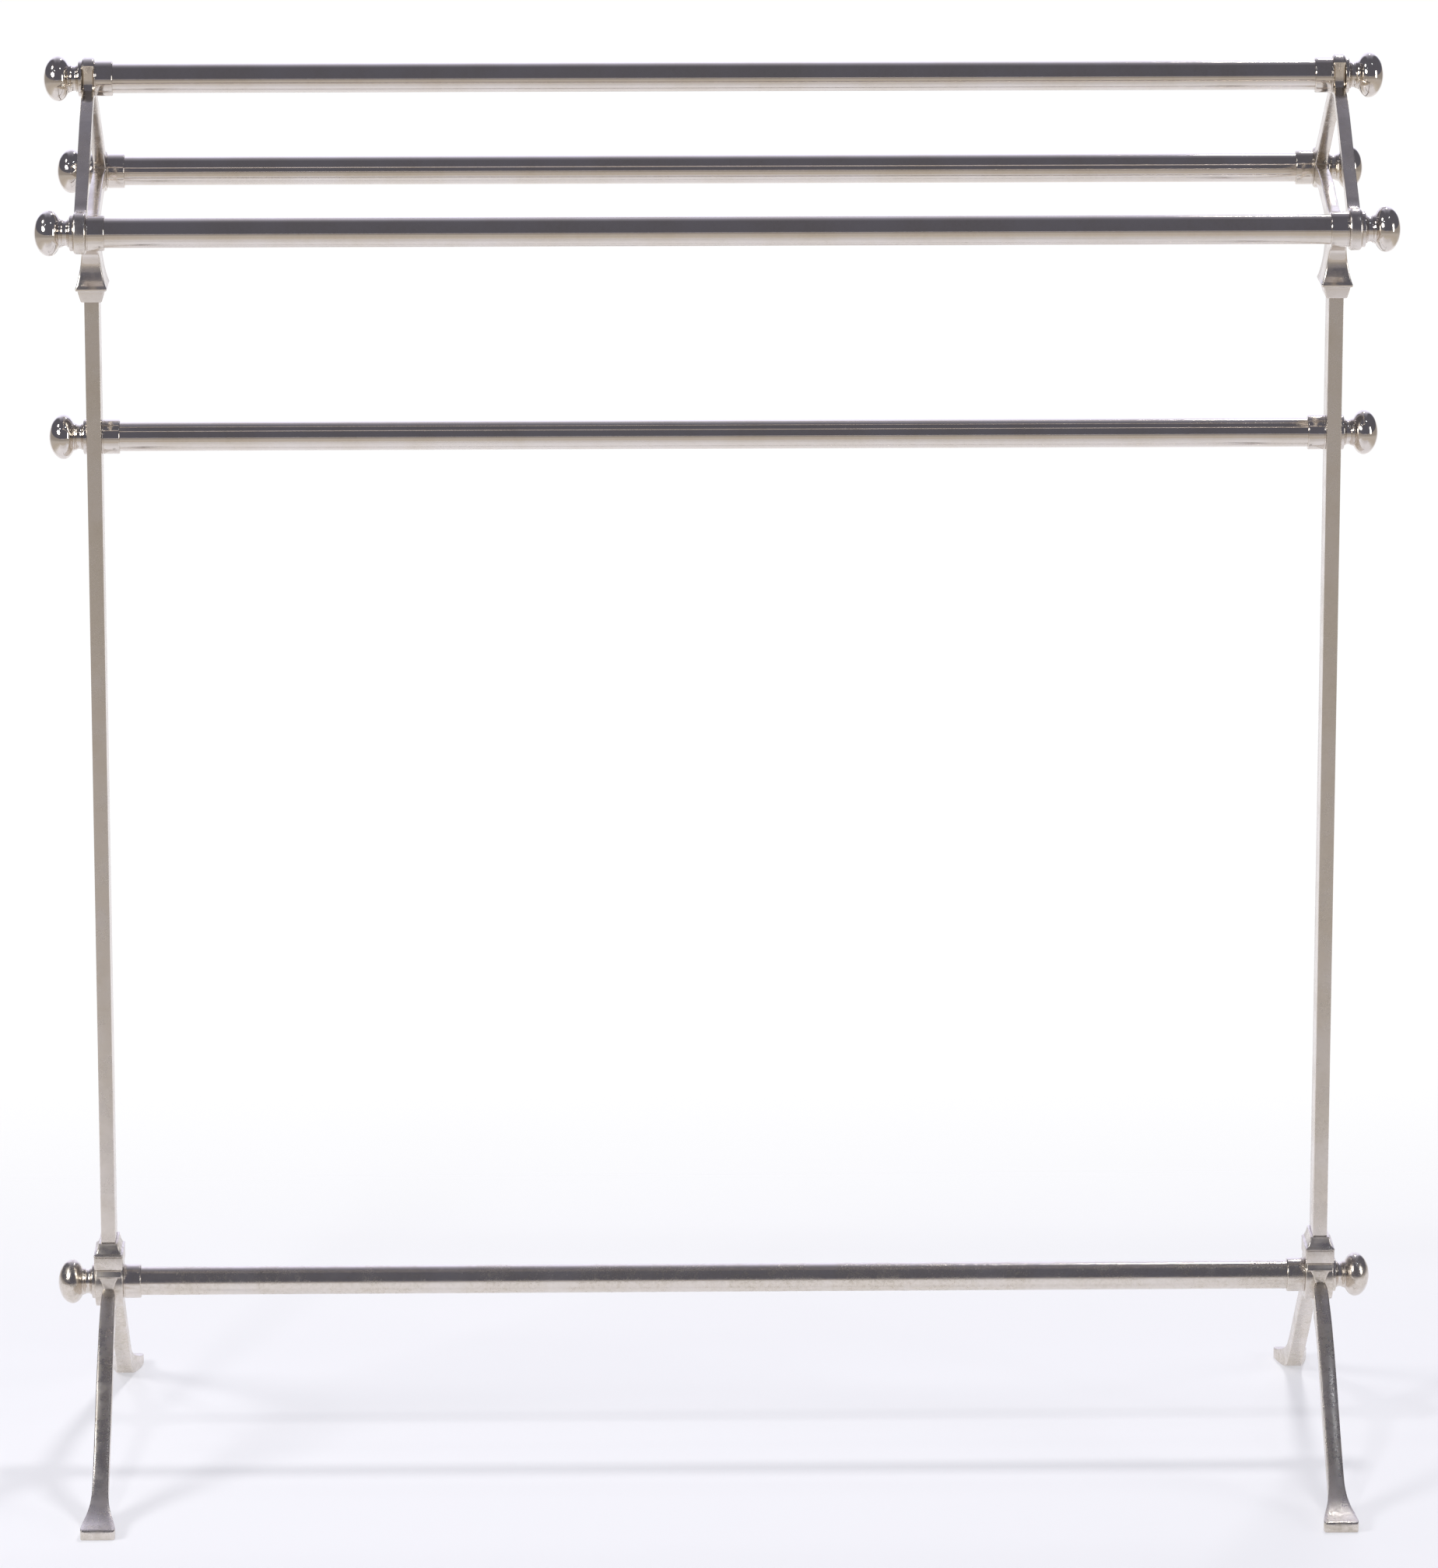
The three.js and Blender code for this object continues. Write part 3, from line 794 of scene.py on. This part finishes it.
def add_lamp(name, place, aim, shape, size, power, height=None, colour=(1, 1, 1), glints=True):
    """An area lamp; without glints it lights the metal and is not mirrored in it."""
    light = bpy.data.lights.new(name, "AREA")
    light.shape = shape
    light.size = size
    if height is not None:
        light.size_y = height
    light.energy = power
    light.color = colour
    lamp = bpy.data.objects.new(name, light)
    lamp.location = place
    lamp.rotation_euler = (Vector(aim) - Vector(place)).to_track_quat("-Z", "Y").to_euler()
    lamp.visible_camera = False
    lamp.visible_glossy = glints
    scene.collection.objects.link(lamp)


def make_lamps():
    middle = (0, 0, 0.45)
    cool = (0.85, 0.92, 1.0)
    add_lamp("left umbrella", (-2.5, -1.3, 1.88), middle, "ELLIPSE", 1.4, 50, height=0.75)
    add_lamp("right soft box", (2.9, -0.9, 1.15), middle, "RECTANGLE", 0.5, 20, height=1.2)
    add_lamp("back lamp", (0.6, 1.25, 3.0), middle, "DISK", 0.5, 45, glints=False)
    add_lamp("far glint", (0.72, 2.3, 3.0), middle, "DISK", 0.30, 5)
    add_lamp("left ceiling lamp", (-2.7, 0.0, 3.0), middle, "DISK", 0.65, 10)
    add_lamp("front lamp", (-0.9, -1.6, 3.0), middle, "DISK", 0.25, 16, glints=False)
    for x, y in ((-1.9, -1.5), (1.3, -0.8)):
        add_lamp(f"ceiling lamp {x:g}", (x, y, 3.0), (x, y, 0), "DISK", 0.12, 2.0, colour=cool)


def make_camera():
    """The photograph's view: 1.7 m up, 5.3 m away, looking down a little."""
    data = bpy.data.cameras.new("camera")
    data.sensor_fit = "VERTICAL"
    data.sensor_height = 36
    data.lens = 186.68
    camera = bpy.data.objects.new("camera", data)
    yaw, pitch = 0.0198, 0.2318
    level = math.cos(pitch)
    forward = Vector((math.sin(yaw) * level, math.cos(yaw) * level, -math.sin(pitch)))
    camera.location = (-0.1014, -5.2697, 1.7048)
    camera.rotation_euler = forward.to_track_quat("-Z", "Y").to_euler()
    scene.collection.objects.link(camera)
    scene.camera = camera


make_floor()
make_world()
make_lamps()
make_camera()
scene.view_settings.view_transform = "Standard"
scene.view_settings.look = "None"
